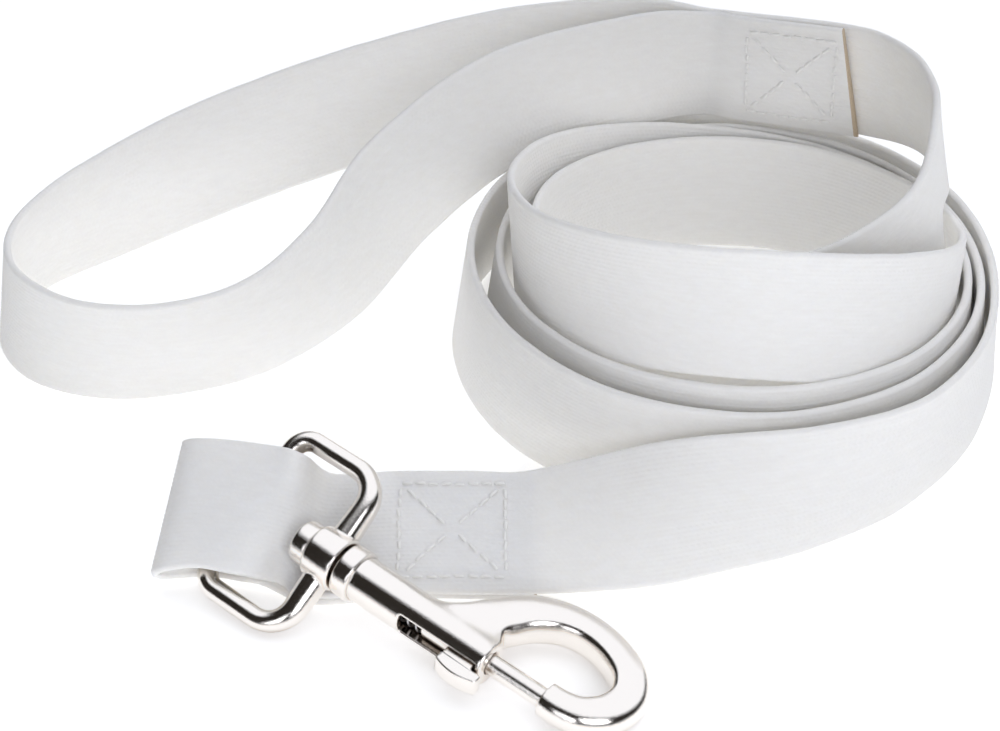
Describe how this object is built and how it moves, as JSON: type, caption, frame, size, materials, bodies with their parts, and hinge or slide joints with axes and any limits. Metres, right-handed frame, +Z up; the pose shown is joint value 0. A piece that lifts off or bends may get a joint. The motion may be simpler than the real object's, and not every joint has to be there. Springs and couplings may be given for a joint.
{
  "type": "training leash",
  "caption": "White webbing training leash with a sewn hand loop and a nickel plated swivel bolt snap, laid out in a loose coil.",
  "frame": {"origin": "on the table, under the middle of the leash's box as it is laid out", "axes": "+Z up, +X along the layout from the hand loop to the coil, +Y away from the snap hook"},
  "size_m": [0.2062, 0.1664, 0.0566],
  "materials": {
    "webbing": "white woven webbing with fine lengthwise ribs, slight sheen",
    "thread": "off-white polyester sewing thread",
    "nickel": "nickel plated, polished, slightly warm",
    "spring_steel": "plain drawn spring wire"
  },
  "bodies": {
    "leash": {"webbing_handle": "webbing", "webbing_coil": "webbing", "webbing_lead": "webbing", "webbing_fold": "webbing", "handle_needle_thread": "thread", "handle_bobbin_thread": "thread", "snap_needle_thread": "thread", "snap_bobbin_thread": "thread"},
    "eye": {"swivel_eye": "nickel"},
    "hook": {"snap_body": "nickel", "swivel_pin": "nickel", "plunger_spring": "spring_steel"},
    "bolt": {"plunger": "nickel", "thumb_stud": "nickel"}
  },
  "joints": [
    {"name": "eye_tilt", "type": "hinge", "parent": "leash", "child": "eye", "pos_m": [-0.04269, -0.03855, 0.01208], "axis": [-0.5605, -0.6395, -0.5262], "range_deg": [0, 45]},
    {"name": "hook_swivel", "type": "hinge", "parent": "eye", "child": "hook", "pos_m": [-0.0281, -0.04955, 0.0099], "axis": [0.793, -0.5976, -0.1184], "continuous": true},
    {"name": "bolt_slide", "type": "slide", "parent": "hook", "child": "bolt", "axis": [-0.793, 0.5976, 0.1184], "range_m": [0, 0.009], "stiffness_N_per_m": 400, "springref_m": -0.006, "deforming": ["plunger_spring"]}
  ]
}
